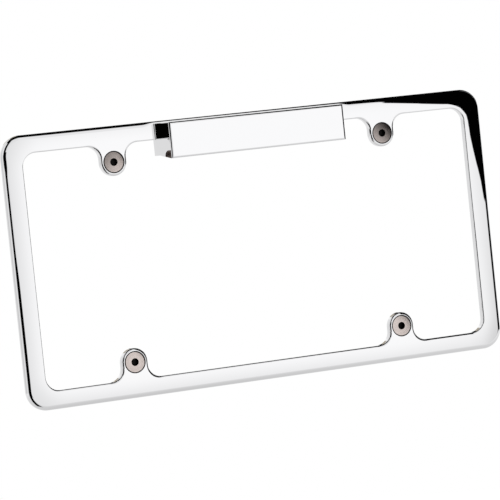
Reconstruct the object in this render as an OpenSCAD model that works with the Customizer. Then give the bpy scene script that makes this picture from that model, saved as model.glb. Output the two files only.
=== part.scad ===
// Number plate holder: a frame machined from aluminium plate, with a lamp hood in one piece
// with it and four countersunk screws in ears.
// X runs to the right, Z up, and -Y towards the viewer. The origin is the centre of the screw
// pattern on the back face, where the number plate seats. Millimetres.

/* [Screw pattern] */
// Distance between screw centres across the plate
bolt_dx = 177.8; // [172:0.1:184]
// Distance between screw centres up the plate
bolt_dz = 120.65; // [117:0.05:124]

/* [Ring] */
// Width over the outside
frame_w = 316.5; // [306:0.5:326]
// Height over the outside
frame_h = 164; // [160:0.5:170]
// Thickness of the plate that the ring is cut from
frame_t = 4.2; // [4:0.02:6]
// Radius of the outer corners, seen from the front
corner_r = 12.7; // [10:0.1:16]
// Radius of the outer front edge
edge_r = 3; // [1:0.1:3.6]
// Width of the left and right rails
side_rail = 12.4; // [10:0.1:16]
// Width of the top and bottom rails
cross_rail = 11.15; // [9.5:0.05:14]
// Radius of the inner corners of the window
window_r = 8.5; // [5:0.1:12]

/* [Ears] */
// Metal left round the countersink at the end of an ear
ear_wall = 1.7; // [0.7:0.05:2.4]
// Radius of the fillets where an ear leaves its rail
ear_fillet = 8; // [4:0.1:10]

/* [Plate screws] */
// Shank diameter of a plate screw
screw_d = 6.35; // [5:0.05:6.5]
// Length over all, from the top of the head
screw_len = 15.875; // [12:0.125:25]
// Height of the head's cone
head_cone = 3.48; // [2.8:0.02:3.7]
// Cylindrical land at the rim of the head
head_land = 0.3; // [0.1:0.05:0.6]
// How far the head sits below the face
head_sink = 0.2; // [0:0.05:0.6]
// Angle of the head's cone
head_angle = 82; // [78:1:90]
// Width across the flats of the hex socket
hex_af = 3.97; // [3:0.01:5]
// Depth of the hex socket
hex_depth = 2.5; // [1.5:0.1:3.2]
// Radial clearance of a shank in its hole
screw_clear = 0.225; // [0.125:0.025:0.4]
// Gap between a screw's cone and its seat
seat_gap = 0.02; // [0:0.01:0.05]
// Depth of the relief under the head, where the thread runs out
relief = 0.15; // [0.1:0.05:0.4]
// How far that relief runs past the back face
relief_past = 0.4; // [0.2:0.1:1]
// Chamfer at the tip of a shank
tip_chamfer = 0.7; // [0.2:0.1:1.2]

/* [Hood] */
// Width of the hood's front face
hood_front_w = 114.1; // [106:0.1:120]
// How much each end of the hood is drawn in from the face to the front
end_draw = 3.85; // [1:0.05:6]
// How far the top of the hood lies below the top of the ring
hood_drop = 1.4; // [0.6:0.1:3]
// Radius of the ring's front edge where it rises behind the hood
rim_r = 1.2; // [0.6:0.1:2]
// How far that smaller radius runs on past each end of the hood
rim_past = 4; // [2.5:0.1:8]
// How far the hood stands out from the face
hood_depth = 15.5; // [14.5:0.1:18]
// Height of the hood's front face
hood_h = 21.95; // [20:0.05:26]
// How far the front lip hangs below the hood's base
lip_drop = 2.55; // [1:0.05:3]
// Depth of the level part of the underside in front of the face
level_depth = 3; // [1:0.1:6]
// Radius of the hood's front edges
hood_edge_r = 1.2; // [0.4:0.1:2]
// Radius of the fillet between the hood's ends and the face
hood_fillet = 0.8; // [0.4:0.1:2.4]

/* [Lamp pocket] */
// Front wall of the hood beside the lens
hood_wall = 2.2; // [1.8:0.1:2.6]
// Back wall of the hood beside the lens
back_wall = 2.8; // [2.5:0.1:3.4]
// Wall between the lens and each end of the hood's front face
end_wall = 3.5; // [2.4:0.1:6]
// Width of the ledge that the gasket seats on, in front and behind
ledge = 1.6; // [1.2:0.1:1.9]
// Width of that ledge at the ends, where the lens screws go in
end_ledge = 8.7; // [7.5:0.1:11]
// Height of the pocket over the ledge
pocket_h = 7.5; // [6:0.1:8.5]
// Radius of the pocket's corners
pocket_r = 2; // [1:0.1:2.5]

/* [Lens] */
// Thickness of the lens
lens_t = 2; // [1.6:0.1:2.4]
// How far the lens lies above the underside
lens_recess = 0.5; // [0.2:0.1:1]
// Clearance round the lens and the gasket
lens_clear = 0.2; // [0.1:0.05:0.4]
// Thickness of the gasket
gasket_t = 0.8; // [0.5:0.1:1.2]
// Distance of the lens screws from the ends of the lens
lens_screw_in = 4; // [3.2:0.1:5]
// Shank diameter of the small screws
small_d = 2.8; // [2:0.1:3]
// Head diameter of the small screws
small_head_d = 5; // [4.4:0.1:5.4]
// Length of the lens screws
lens_screw_len = 7.6; // [6:0.1:9]
// Radial clearance of the small screws
small_clear = 0.05; // [0.02:0.01:0.1]

/* [Lamp board] */
// Clearance of the board at its ends
board_end = 0.5; // [0.2:0.1:1.5]
// Clearance of the board in front and behind
board_clear = 0.4; // [0.2:0.05:0.8]
// Thickness of the board
board_t = 1.6; // [1.2:0.1:1.8]
// Distance of the board screws from the ends of the board
board_screw_in = 4; // [3.2:0.1:5]
// Length of the board screws under the head
board_screw_len = 5.2; // [4:0.1:7]
// Height of a board screw's head
pan_head_h = 1.6; // [1.2:0.1:2]
// Distance from a board screw to the first diode
led_start = 7.5; // [6:0.1:9]
// Side of a diode
led_side = 5; // [3.5:0.1:5.4]
// Height of a diode
led_h = 1.6; // [1:0.1:2]
// Diameter of a solder post
post_d = 1.2; // [0.8:0.1:1.4]
// Length of a solder post
post_len = 2.2; // [1.5:0.1:3]
// Gap between a solder post and the diodes in front of it and the grommet beside it
post_gap = 0.3; // [0.2:0.05:1]

/* [Wire way] */
// Gap between the grommet's flange and the lens below and board above it
flange_gap = 0.4; // [0.2:0.1:1]
// Thickness of the grommet's flange
flange_t = 1.1; // [0.8:0.1:1.4]
// How far the flange reaches past the wire hole all round
flange_lip = 0.8; // [0.5:0.1:1.2]
// Clearance of the grommet in its hole
grommet_clear = 0.05; // [0.02:0.01:0.1]
// Wall of the grommet
grommet_wall = 0.9; // [0.6:0.1:1.2]
// Extra width on each side of the wire channel in the back face, which leads over the plate
channel_side = 0.15; // [0:0.05:0.4]
// Depth of that channel
channel_depth = 2.2; // [1.8:0.1:2.4]

/* [Hidden] */

$fn = 96;
cut = 1;                                   // how far a cutter runs past a face
spare = 1;                                 // how much deeper a tapped hole is than its screw
bite = 0.002;                              // how far a fillet bites into the faces it joins
led_count = 6;                             // one node each

half_w = frame_w / 2;
half_h = frame_h / 2;
window_x = half_w - side_rail;             // inner edge of the side rails
window_z = half_h - cross_rail;            // inner edge of the top and bottom rails
cone = tan(head_angle / 2);                // radius per depth of a screw's cone

// The countersink's mouth is wider than the head by as much as the head is sunk.
shank_r = screw_d / 2;
head_r = shank_r + head_cone * cone;
sink_r = head_r + seat_gap + (head_sink + head_land) * cone;
hole_r = shank_r + screw_clear;
ear_r = sink_r + ear_wall;

// Hood: heights and depths in the part's own frame
hood_base_w = hood_front_w + 2 * end_draw;
hood_front_y = -frame_t - hood_depth;
hood_top = half_h - hood_drop;
lip_z = hood_top - hood_h;
base_z = lip_z + lip_drop;

// Lamp: the lens, gasket and board stack up from the underside.
lens_z = base_z + lens_recess;
gasket_z = lens_z + lens_t;
ledge_z = gasket_z + gasket_t;
roof_z = ledge_z + pocket_h;
board_z = roof_z - board_t;
seat_front = hood_front_y + hood_wall;
seat_back = -back_wall;
seat_mid = (seat_front + seat_back) / 2;
seat_d = seat_back - seat_front;
seat_w = hood_front_w - 2 * end_wall;
pocket_d = seat_d - 2 * ledge;
pocket_w = seat_w - 2 * end_ledge;
pocket_back = seat_back - ledge;
lens_w = seat_w - 2 * lens_clear;
lens_d = seat_d - 2 * lens_clear;
lens_screw_x = lens_w / 2 - lens_screw_in;
board_w = pocket_w - 2 * board_end;
board_d = pocket_d - 2 * board_clear;
board_screw_x = board_w / 2 - board_screw_in;
led_pitch = 2 * (board_screw_x - led_start) / (led_count - 1);
small_cone = 1;                            // the small screws have 90 degree heads
small_r = small_d / 2;
small_hole_r = small_r + small_clear;
small_sink_r = small_head_d / 2 + small_clear;

// Wire way: the grommet sits midway between the lens and the board.
wire_z = (gasket_z + board_z) / 2;
flange_d = board_z - gasket_z - 2 * flange_gap;
wire_hole_d = flange_d - 2 * flange_lip;
grommet_d = wire_hole_d - 2 * grommet_clear;
channel_w = wire_hole_d + 2 * channel_side;
post_x = flange_d / 2 + post_gap + post_d / 2;

function unit(v) = v / norm(v);
function turn(v) = [-v[1], v[0]];

// A polygon with one radius a corner (0 leaves it sharp). Each rounded corner is cut off
// between its two tangent points and a circle fills it, so the arc stays a true one.
module rounded(points, radii) {
    n = len(points);
    into = [for (i = [0:n - 1]) unit(points[i] - points[(i + n - 1) % n])];
    out = [for (i = [0:n - 1]) unit(points[(i + 1) % n] - points[i])];
    // half the turn at a corner gives the distance from the corner to its tangent points
    run = [for (i = [0:n - 1]) radii[i] * norm(into[i] - out[i]) / norm(into[i] + out[i])];
    polygon([for (i = [0:n - 1]) each
        radii[i] == 0 ? [points[i]]
                      : [points[i] - into[i] * run[i], points[i] + out[i] * run[i]]]);
    for (i = [0:n - 1])
        if (radii[i] > 0)
            translate(points[i] - into[i] * run[i] + turn(into[i]) * radii[i])
                circle(r = radii[i]);
}

// A rectangle about the origin with round corners
module rounded_rect(w, d, r) {
    rounded([[-w / 2, -d / 2], [w / 2, -d / 2], [w / 2, d / 2], [-w / 2, d / 2]], [r, r, r, r]);
}

// Stands a shape that was drawn lying on its back: its Y becomes up, its Z the front.
module upright() { rotate([90, 0, 0]) children(); }

// Section through the rim, from its inner side at 0 to the outer face at w
module rim_section(w) {
    square([w, frame_t - edge_r]);
    square([w - edge_r, frame_t]);
    translate([w - edge_r, frame_t - edge_r]) intersection() {
        circle(r = edge_r);
        square(edge_r);
    }
}

// The plate before the window is cut: four edges and four corners with the round front edge
module blank() {
    inner_x = half_w - corner_r;
    inner_z = half_h - corner_r;
    translate([-inner_x, -inner_z, 0]) cube([2 * inner_x, 2 * inner_z, frame_t]);
    for (side = [0, 180]) rotate([0, 0, side]) {
        translate([inner_x, -inner_z, 0]) rotate([90, 0, 0]) mirror([0, 0, 1])
            linear_extrude(2 * inner_z) rim_section(corner_r);
        translate([-inner_x, inner_z, 0]) rotate([90, 0, 90])
            linear_extrude(2 * inner_x) rim_section(corner_r);
        for (x = [-inner_x, inner_x])
            translate([x, inner_z, 0]) rotate([0, 0, x > 0 ? 0 : 90])
                rotate_extrude(angle = 90) rim_section(corner_r);
    }
}

// Outline of one ear on the top rail, with its two fillets, about the screw's own centre.
// The fillets run off a straight neck, or off the round end where the rail is too near for one.
module ear_outline() {
    rail = window_z - bolt_dz / 2;         // from the screw up to the rail's inner edge
    rise = rail - ear_fillet;
    span = ear_r + ear_fillet;
    reach = rise > 0 ? span : sqrt(span * span - rise * rise);
    touch = rise > 0 ? rise : rise * ear_r / span;
    circle(r = ear_r);
    if (rise > 0) translate([-ear_r, 0]) square([2 * ear_r, rise]);
    difference() {
        translate([-reach, touch]) square([2 * reach, rail + cut - touch]);
        for (x = [-reach, reach]) translate([x, rise]) circle(r = ear_fillet);
    }
}

// The window that the plate shows through, with the ears left standing
module window_outline() {
    difference() {
        rounded_rect(2 * window_x, 2 * window_z, window_r);
        for (x = [-1, 1], z = [-1, 1])
            translate([x * bolt_dx / 2, z * bolt_dz / 2]) mirror([0, z < 0 ? 1 : 0]) ear_outline();
    }
}

// Hood seen from above: square behind the face, ends drawn in towards the front
module hood_plan() {
    b = hood_base_w / 2;
    f = hood_front_w / 2;
    rounded([[-b, 0], [-b, -frame_t], [-f, hood_front_y],
             [f, hood_front_y], [b, -frame_t], [b, 0]],
            [0, 0, hood_edge_r, hood_edge_r, 0, 0]);
}

// Hood seen from its left end: the underside is level at the back and falls to the front lip
module hood_section() {
    rounded([[0, base_z], [0, hood_top], [hood_front_y, hood_top],
             [hood_front_y, lip_z], [-frame_t - level_depth, base_z]],
            [0, 0, hood_edge_r, hood_edge_r, 0]);
}

// Fillet on the face along the right end of the hood
module end_fillet() {
    wall = unit([hood_front_w - hood_base_w, -2 * hood_depth]);
    away = turn(wall);                     // the end wall's outward normal
    centre = [hood_base_w / 2 + hood_fillet * (1 + away[1]) / away[0], -frame_t - hood_fillet];
    foot = centre - away * hood_fillet;
    difference() {
        polygon([[hood_base_w / 2 - hood_fillet, -frame_t + cut], [centre[0], -frame_t + cut],
                 [centre[0], -frame_t], foot, [hood_base_w / 2 - hood_fillet, foot[1]]]);
        translate(centre) circle(r = hood_fillet + bite);
    }
}

// The ring's top edge behind the hood has a smaller radius than elsewhere.
module rim_behind() {
    w = hood_base_w + 2 * rim_past;
    low = half_h - 2 * edge_r;
    translate([-w / 2, 0, 0]) rotate([90, 0, 90]) linear_extrude(w)
        rounded([[0, low], [0, half_h], [-frame_t, half_h], [-frame_t, low]],
                [0, 0, rim_r, 0]);
}

module hood() {
    intersection() {
        translate([0, 0, lip_z - cut]) linear_extrude(hood_h + 2 * cut)
            hood_plan();
        translate([-frame_w / 2, 0, 0]) rotate([90, 0, 90]) linear_extrude(frame_w)
            hood_section();
    }
    for (side = [0, 1]) mirror([side, 0, 0])
        translate([0, 0, window_z]) linear_extrude(hood_top - window_z) end_fillet();
}

// Everything that is milled out of the hood: lens seat, lamp pocket, screw holes, wire way
module lamp_cuts() {
    translate([0, seat_mid, lip_z - cut]) linear_extrude(ledge_z - lip_z + cut)
        rounded_rect(seat_w, seat_d, pocket_r);
    translate([0, seat_mid, lip_z - cut]) linear_extrude(roof_z - lip_z + cut)
        rounded_rect(pocket_w, pocket_d, pocket_r);
    for (x = [-lens_screw_x, lens_screw_x])
        translate([x, seat_mid, ledge_z - cut])
            cylinder(r = small_hole_r,
                     h = cut + lens_screw_len - lens_t - gasket_t + spare);
    for (x = [-board_screw_x, board_screw_x])
        translate([x, seat_mid, roof_z - cut])
            cylinder(r = small_hole_r, h = cut + board_screw_len - board_t + spare);
    translate([0, cut, wire_z]) rotate([90, 0, 0])
        cylinder(d = wire_hole_d, h = -pocket_back + 2 * cut);
    translate([0, cut, wire_z]) rotate([90, 0, 0]) cylinder(d = channel_w, h = channel_depth + cut);
    translate([-channel_w / 2, -channel_depth, wire_z])
        cube([channel_w, channel_depth + cut, half_h - wire_z + cut]);
}

// A countersunk hole along +Y from the face
module plate_hole() {
    upright() {
        translate([0, 0, -cut]) cylinder(r = hole_r, h = frame_t + 2 * cut);
        translate([0, 0, frame_t - (sink_r - hole_r) / cone])
            cylinder(r1 = hole_r, r2 = sink_r, h = (sink_r - hole_r) / cone);
        translate([0, 0, frame_t]) cylinder(r = sink_r, h = cut);
    }
}

module frame() {
    color("gainsboro") difference() {
        union() {
            upright() difference() {
                blank();
                translate([0, 0, -cut]) linear_extrude(frame_t + 2 * cut) window_outline();
            }
            rim_behind();
            hood();
        }
        for (x = [-1, 1], z = [-1, 1]) translate([x * bolt_dx / 2, 0, z * bolt_dz / 2]) plate_hole();
        lamp_cuts();
    }
}

// A plate screw on the origin's axis, its head in front and its tip behind
module plate_screw() {
    top = frame_t - head_sink;
    rim = top - head_land;
    neck = rim - head_cone - relief / cone;
    tip = top - screw_len;
    color("rosybrown") upright() difference() {
        rotate_extrude() polygon([[0, tip], [shank_r - tip_chamfer, tip],
            [shank_r, tip + tip_chamfer], [shank_r, -relief_past],
            [shank_r - relief, -relief_past], [shank_r - relief, neck],
            [head_r, rim], [head_r, top], [0, top]]);
        translate([0, 0, top - hex_depth])
            cylinder(d = hex_af / cos(30), h = hex_depth + cut, $fn = 6);
    }
}

module plate_screw_at(x, z) {
    translate([x * bolt_dx / 2, 0, z * bolt_dz / 2]) plate_screw();
}

module lamp_lens() {
    color("aliceblue", 0.5) difference() {
        translate([0, seat_mid, lens_z]) linear_extrude(lens_t)
            rounded_rect(lens_w, lens_d, pocket_r - lens_clear);
        for (x = [-lens_screw_x, lens_screw_x]) translate([x, seat_mid, lens_z]) {
            translate([0, 0, -cut]) cylinder(r = small_hole_r, h = lens_t + 2 * cut);
            cylinder(r1 = small_sink_r, r2 = small_r, h = (small_sink_r - small_r) / small_cone);
        }
    }
}

module lens_gasket() {
    color("dimgray") translate([0, seat_mid, gasket_z]) linear_extrude(gasket_t) difference() {
        rounded_rect(lens_w, lens_d, pocket_r - lens_clear);
        rounded_rect(pocket_w, pocket_d, pocket_r);
        for (x = [-lens_screw_x, lens_screw_x])
            translate([x, 0]) circle(r = small_hole_r);
    }
}

// Countersunk screw from below: its head is flush with the underside of the lens
module lens_screw(side) {
    r = small_head_d / 2;
    color("silver") translate([side * lens_screw_x, seat_mid, lens_z]) difference() {
        rotate_extrude() polygon([[0, 0], [r, 0], [small_r, (r - small_r) / small_cone],
            [small_r, lens_screw_len - small_r / 2], [small_r / 2, lens_screw_len],
            [0, lens_screw_len]]);
        slot(small_head_d);
    }
}

// Straight driver slot across a small head whose underside is at 0
module slot(head) {
    slot_w = head / 6;
    translate([-head, -slot_w / 2, -cut]) cube([2 * head, slot_w, cut + slot_w * 0.75]);
}

module lamp_board() {
    color("seagreen") difference() {
        translate([0, seat_mid, board_z]) linear_extrude(board_t)
            rounded_rect(board_w, board_d, pocket_r);
        for (x = [-board_screw_x, board_screw_x])
            translate([x, seat_mid, board_z - cut])
                cylinder(r = small_hole_r, h = board_t + 2 * cut);
    }
}

// Pan-head screw from below, up through the board into the roof
module board_screw(side) {
    r = small_head_d / 2;
    crown = pan_head_h / 2;
    color("silver") translate([side * board_screw_x, seat_mid, board_z]) difference() {
        rotate_extrude() {
            translate([0, -pan_head_h]) square([r - crown, pan_head_h]);
            translate([0, -crown]) square([r, crown]);
            translate([r - crown, -crown]) circle(r = crown);
            polygon([[0, 0], [small_r, 0], [small_r, board_screw_len - small_r / 2],
                [small_r / 2, board_screw_len], [0, board_screw_len]]);
        }
        translate([0, 0, -pan_head_h]) slot(small_head_d);
    }
}

// One diode: a square body with a round window of resin in its face
module lamp_led(i) {
    window_d = led_side * 0.8;
    dish = led_h / 6;
    color("ivory")
        translate([(i - (led_count + 1) / 2) * led_pitch, seat_mid, board_z - led_h]) difference() {
            translate([-led_side / 2, -led_side / 2, 0]) cube([led_side, led_side, led_h]);
            translate([0, 0, -cut]) cylinder(d = window_d, h = cut + dish);
        }
}

// Turned solder post with a groove for the wire
module lamp_terminal(side) {
    r = post_d / 2;
    color("goldenrod")
        translate([side * post_x, seat_mid + led_side / 2 + post_gap + r, board_z - post_len])
            rotate_extrude() polygon([[0, 0], [r, 0], [r, post_len * 0.3], [r * 0.6, post_len * 0.4],
                [r * 0.6, post_len * 0.7], [r, post_len * 0.8], [r, post_len], [0, post_len]]);
}

module wire_grommet() {
    body_len = -pocket_back - channel_depth;
    color("dimgray") translate([0, pocket_back, wire_z]) rotate([-90, 0, 0]) difference() {
        union() {
            cylinder(d = grommet_d, h = body_len);
            translate([0, 0, -flange_t]) cylinder(d = flange_d, h = flange_t);
        }
        translate([0, 0, -flange_t - cut])
            cylinder(d = grommet_d - 2 * grommet_wall, h = flange_t + body_len + 2 * cut);
    }
}

frame();
plate_screw_at(-1, 1);  // plate_screw_top_left
plate_screw_at(1, 1);  // plate_screw_top_right
plate_screw_at(-1, -1);  // plate_screw_bottom_left
plate_screw_at(1, -1);  // plate_screw_bottom_right
lamp_lens();
lens_gasket();
lens_screw(-1);  // lens_screw_left
lens_screw(1);  // lens_screw_right
lamp_board();
board_screw(-1);  // board_screw_left
board_screw(1);  // board_screw_right
lamp_led(1);  // lamp_led_1
lamp_led(2);  // lamp_led_2
lamp_led(3);  // lamp_led_3
lamp_led(4);  // lamp_led_4
lamp_led(5);  // lamp_led_5
lamp_led(6);  // lamp_led_6
lamp_terminal(-1);  // lamp_terminal_pos
lamp_terminal(1);  // lamp_terminal_neg
wire_grommet();
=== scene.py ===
import math

import bpy
import bmesh
from mathutils import Matrix, Vector
from mathutils.geometry import delaunay_2d_cdt


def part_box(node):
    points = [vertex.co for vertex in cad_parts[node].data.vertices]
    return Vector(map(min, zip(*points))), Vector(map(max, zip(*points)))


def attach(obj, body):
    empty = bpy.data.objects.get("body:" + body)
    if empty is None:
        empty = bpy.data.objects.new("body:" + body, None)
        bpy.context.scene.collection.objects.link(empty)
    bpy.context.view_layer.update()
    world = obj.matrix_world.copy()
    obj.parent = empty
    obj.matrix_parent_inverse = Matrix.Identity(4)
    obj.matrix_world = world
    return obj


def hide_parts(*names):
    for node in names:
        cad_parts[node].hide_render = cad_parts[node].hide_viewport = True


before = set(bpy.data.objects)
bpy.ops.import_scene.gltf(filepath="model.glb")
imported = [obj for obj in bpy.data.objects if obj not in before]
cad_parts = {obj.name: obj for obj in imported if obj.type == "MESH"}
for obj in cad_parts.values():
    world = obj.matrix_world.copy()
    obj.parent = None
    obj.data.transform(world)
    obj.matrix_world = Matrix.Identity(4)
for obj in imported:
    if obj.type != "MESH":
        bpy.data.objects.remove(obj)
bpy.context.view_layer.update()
scene = bpy.context.scene
MM = 0.001
NEAR, TINY = 1e-6, 1e-7                    # points closer than this are one point, in millimetres
SIDE = math.pi / 2                         # tilt of a normal that points sideways
ROUND = 72                                 # points on a circle round a plate screw
SEAT_STEPS = 10                            # steps of a corner of the lens seat and the pocket

# Sizes in millimetres, as in the part's source. The back face is at depth 0, the front at -THICK.
HALF_W, HALF_H, THICK = 158.25, 82.0, 4.2  # the ring's outside and thickness
CORNER_R, EDGE_R = 12.7, 3.0               # radii of its corners and of its outer front edge
WIN_X, WIN_Z, WIN_R = 145.85, 70.85, 8.5   # the window's sides, top and corners
BOLT_X, BOLT_Z = 88.9, 60.325              # a plate screw's place
SCREWS = [(sx * BOLT_X, sz * BOLT_Z) for sx in (-1, 1) for sz in (-1, 1)]
HEAD_R, SINK_R, HOLE_R = 6.2, 6.655, 3.4   # a screw's head, its countersink and its hole
EAR_R, EAR_FILLET = 8.355, 8.0             # an ear's round end, and where it leaves the rail
SLOPE = math.radians(41)                   # a countersink's wall and a screw's cone, off the axis
CONE = math.tan(SLOPE)
HOOD_B, HOOD_F, HOOD_Y = 60.9, 57.05, -19.7  # the hood's half width behind and in front; its front
HOOD_R, HOOD_FILLET = 1.2, 0.8             # radii of its front edges and where it meets the face
HOOD_TOP, LIP_Z, BASE_Z = 80.6, 58.65, 61.2  # heights of its top, its lip and its base
LEVEL_Y = -7.2                             # its underside is level as far as this, then slopes
RIM_R, BLEND = 1.2, 8.0                    # front edge of the rim behind it, and the run-out
SEAT_W, SEAT_FRONT, SEAT_BACK = 107.1, -17.5, -2.8   # the lens's seat
SEAT_MID = (SEAT_FRONT + SEAT_BACK) / 2
POCKET_W, POCKET_D, POCKET_R = 89.7, 11.5, 2.0       # the lamp's pocket above it
POCKET_BACK = SEAT_MID + POCKET_D / 2
LEDGE_Z, ROOF_Z = 64.5, 72.0               # the pocket's foot and roof
WIRE_Z, WIRE_R = 67.05, 2.15               # the hole for the lead
CHANNEL, CHANNEL_Y = 2.3, -2.2             # half width and depth of its channel in the back

# What polishing by hand leaves, in millimetres too.
END_R = 1.7                                # round of the hood's upright front edges
BREAK = (0.5, 0.9, 0.9, 0.8)               # window's front edge: left, right, bottom and top
EAR_BREAK, EAR_REACH = 1.4, (13, 22)       # at the ears, and how far from the screw it fades
CHAMFER, BACK_BREAK = 0.25, 0.2            # small breaks of the back edges
CROWN_W, CROWN_R = 12.0, 24.0              # the face's crown: width, and radius at the corners
CROWN_LEAN, CROWN_DROP = math.radians(0.106), 0.000925   # its lean a millimetre, and half of that
CROWN_END = 9.6                            # the crown's rows end here, the fill goes on
SINK_RIM, SINK_ROLL = 0.08, 0.06           # rolled rim of a countersink: width and depth
HOLE_BREAK = 0.2                           # break at the back of a screw hole
ROOT = 0.15 - THICK                        # the hood starts a little inside the crowned face

# Kinds of surface on the frame, as places in its list of materials. SINK is painted near-black as
# shade in the countersinks.
POLISHED, MILLED, SATIN, SINK = range(4)


# Meshes
class Shell:
    """A mesh whose vertices carry their exact normals; sharp edges have two sets."""

    def __init__(self):
        self.v, self.n, self.f, self.m = [], [], [], []

    def put(self, p, n):
        self.v.append(Vector(p))
        self.n.append(Vector(n).normalized())
        return len(self.v) - 1

    def face(self, ids, mat):
        """A polygon, wound so that it faces the way its normals point."""
        ids = [i for k, i in enumerate(ids) if (self.v[i] - self.v[ids[k - 1]]).length > NEAR]
        if len(ids) < 3:
            return
        a, b, c = (self.v[i] for i in ids[:3])
        g = (b - a).cross(c - a)
        if len(ids) == 4:
            g = (self.v[ids[2]] - self.v[ids[0]]).cross(self.v[ids[3]] - self.v[ids[1]])
        if g.dot(sum((self.n[i] for i in ids), Vector())) < 0:
            ids = ids[::-1]
        self.f.append(ids)
        self.m.append(mat)

    def grid(self, rows, mat, closed=False, skip=()):
        """Rows of (point, normal) pairs, joined by quads but for the columns in skip."""
        ids = [[self.put(p, n) for p, n in row] for row in rows]
        for r in range(len(ids) - 1):
            width = len(ids[r])
            for c in range(width if closed else width - 1):
                if c in skip:
                    continue
                d = (c + 1) % width
                self.face([ids[r][c], ids[r][d], ids[r + 1][d], ids[r + 1][c]], mat)

    def fill(self, loops, lift, mat, keep=None, extra=()):
        """Fills the region between 2-D loops.

        lift maps a 2-D point and its zone to (point, normal); keep gives the zone of a
        triangle from its middle, or None to leave it out; extra lines cut the region.
        """
        pts, edges = [], []
        for loop in loops:
            start = len(pts)
            pts += [Vector(p) for p in loop]
            edges += [(start + k, start + (k + 1) % len(loop)) for k in range(len(loop))]
        for a, b in extra:
            start = len(pts)
            pts += [Vector(a), Vector(b)]
            edges.append((start, start + 1))
        out, _, tris, *_ = delaunay_2d_cdt(pts, edges, [], 0, TINY)
        seen = {}
        for t in tris:
            mid = sum((out[i] for i in t), Vector((0, 0))) / len(t)
            if sum(inside(mid, loop) for loop in loops) % 2 == 0:
                continue
            zone = keep(mid) if keep else 0
            if zone is None:
                continue
            ids = []
            for i in t:
                if (i, zone) not in seen:
                    p, n = lift(out[i], zone)
                    seen[(i, zone)] = self.put(p, n)
                ids.append(seen[(i, zone)])
            self.face(ids, mat)

    def make(self, name, materials, node):
        mesh = bpy.data.meshes.new(name)
        mesh.from_pydata([v * MM for v in self.v], [], self.f)
        for m in materials:
            mesh.materials.append(m)
        for poly, m in zip(mesh.polygons, self.m):
            poly.material_index = m
            poly.use_smooth = True
        mesh.normals_split_custom_set_from_vertices([tuple(n) for n in self.n])
        obj = bpy.data.objects.new(name, mesh)
        scene.collection.objects.link(obj)
        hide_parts(node)
        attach(obj, "root")
        return obj


def inside(p, loop):
    """Whether a 2-D point lies within a loop of points."""
    hit = False
    for k in range(len(loop)):
        (x0, y0), (x1, y1) = loop[k - 1], loop[k]
        if (y0 > p.y) != (y1 > p.y) and p.x < (x1 - x0) * (p.y - y0) / (y1 - y0) + x0:
            hit = not hit
    return hit


def arc(cx, cz, r, a0, a1, n, sign=1):
    """Points with outward (sign 1) or inward (sign -1) normals along an arc, in degrees."""
    out = []
    for k in range(n + 1):
        a = math.radians(a0 + (a1 - a0) * k / n)
        out.append((cx + r * math.cos(a), cz + r * math.sin(a),
                    sign * math.cos(a), sign * math.sin(a)))
    return out


def flat(points):
    """The points alone, without their normals."""
    return [(p[0], p[1]) for p in points]


def both_halves(values):
    """Values on the one side, followed by those on the other."""
    return values + [-v for v in reversed(values)]


def circle(cx, cz, r, n, sign=1):
    return arc(cx, cz, r, 0, 360, n, sign)[:-1]


def turned(cx, cz, r, y, out, along):
    """A circle of (point, normal) pairs round a screw's axis."""
    return [((x, y, z), (a * out, along, b * out)) for x, z, a, b in circle(cx, cz, r, ROUND)]


def rounded_rect(hw, hh, r, n, cx=0.0, cz=0.0):
    """Four arcs of n + 1 points each, from the right side round over the top."""
    out = []
    for sx, sz, a in ((1, 1, 0), (-1, 1, 90), (-1, -1, 180), (1, -1, 270)):
        out += arc(cx + sx * (hw - r), cz + sz * (hh - r), r, a, a + 90, n)
    return out


# Outlines
def smooth(x, a, b):
    """0 at a, 1 at b, and smooth between."""
    t = min(1.0, max(0.0, (x - a) / (b - a)))
    return t * t * (3 - 2 * t)


def outer():
    """The outer edge, from its right side round over the top.

    It has points near the corners, where the crown bends, and near the hood's ends.
    """
    steps = 36                             # of a corner
    pts = rounded_rect(HALF_W, HALF_H, CORNER_R, steps)
    bend = [CORNER_R + (CROWN_R - CORNER_R) * k / 8 for k in range(1, 9)]
    low = [HALF_W - d for d in bend]
    top = low + [HOOD_B + BLEND * k / 12 for k in range(12, -1, -1)] + [CHANNEL]
    end = [HALF_H - d for d in bend]
    sides = ([(x, HALF_H, 0, 1) for x in both_halves(top)],
             [(-HALF_W, z, -1, 0) for z in both_halves(end)],
             [(-x, -HALF_H, 0, -1) for x in both_halves(low)],
             [(HALF_W, -z, 1, 0) for z in both_halves(end)])
    out = []
    for k, run in enumerate(sides):
        out += pts[k * (steps + 1):(k + 1) * (steps + 1)] + run
    return out


def front_radius(x, z):
    """Radius of the outer front edge, which is smaller where the rim rises behind the hood."""
    if z < HALF_H - NEAR:
        return EDGE_R
    return RIM_R + (EDGE_R - RIM_R) * smooth(abs(x), HOOD_B, HOOD_B + BLEND)


def edge_break(x, z, a, b):
    """Rounding of the window's front edge, which differs by the rail and at the ears."""
    far = math.hypot(abs(x) - BOLT_X, abs(z) - BOLT_Z)
    rail = BREAK[0 if a > 0 else 1] * a * a + BREAK[2 if b > 0 else 3] * b * b
    return EAR_BREAK + (rail - EAR_BREAK) * smooth(far, *EAR_REACH)


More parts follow.
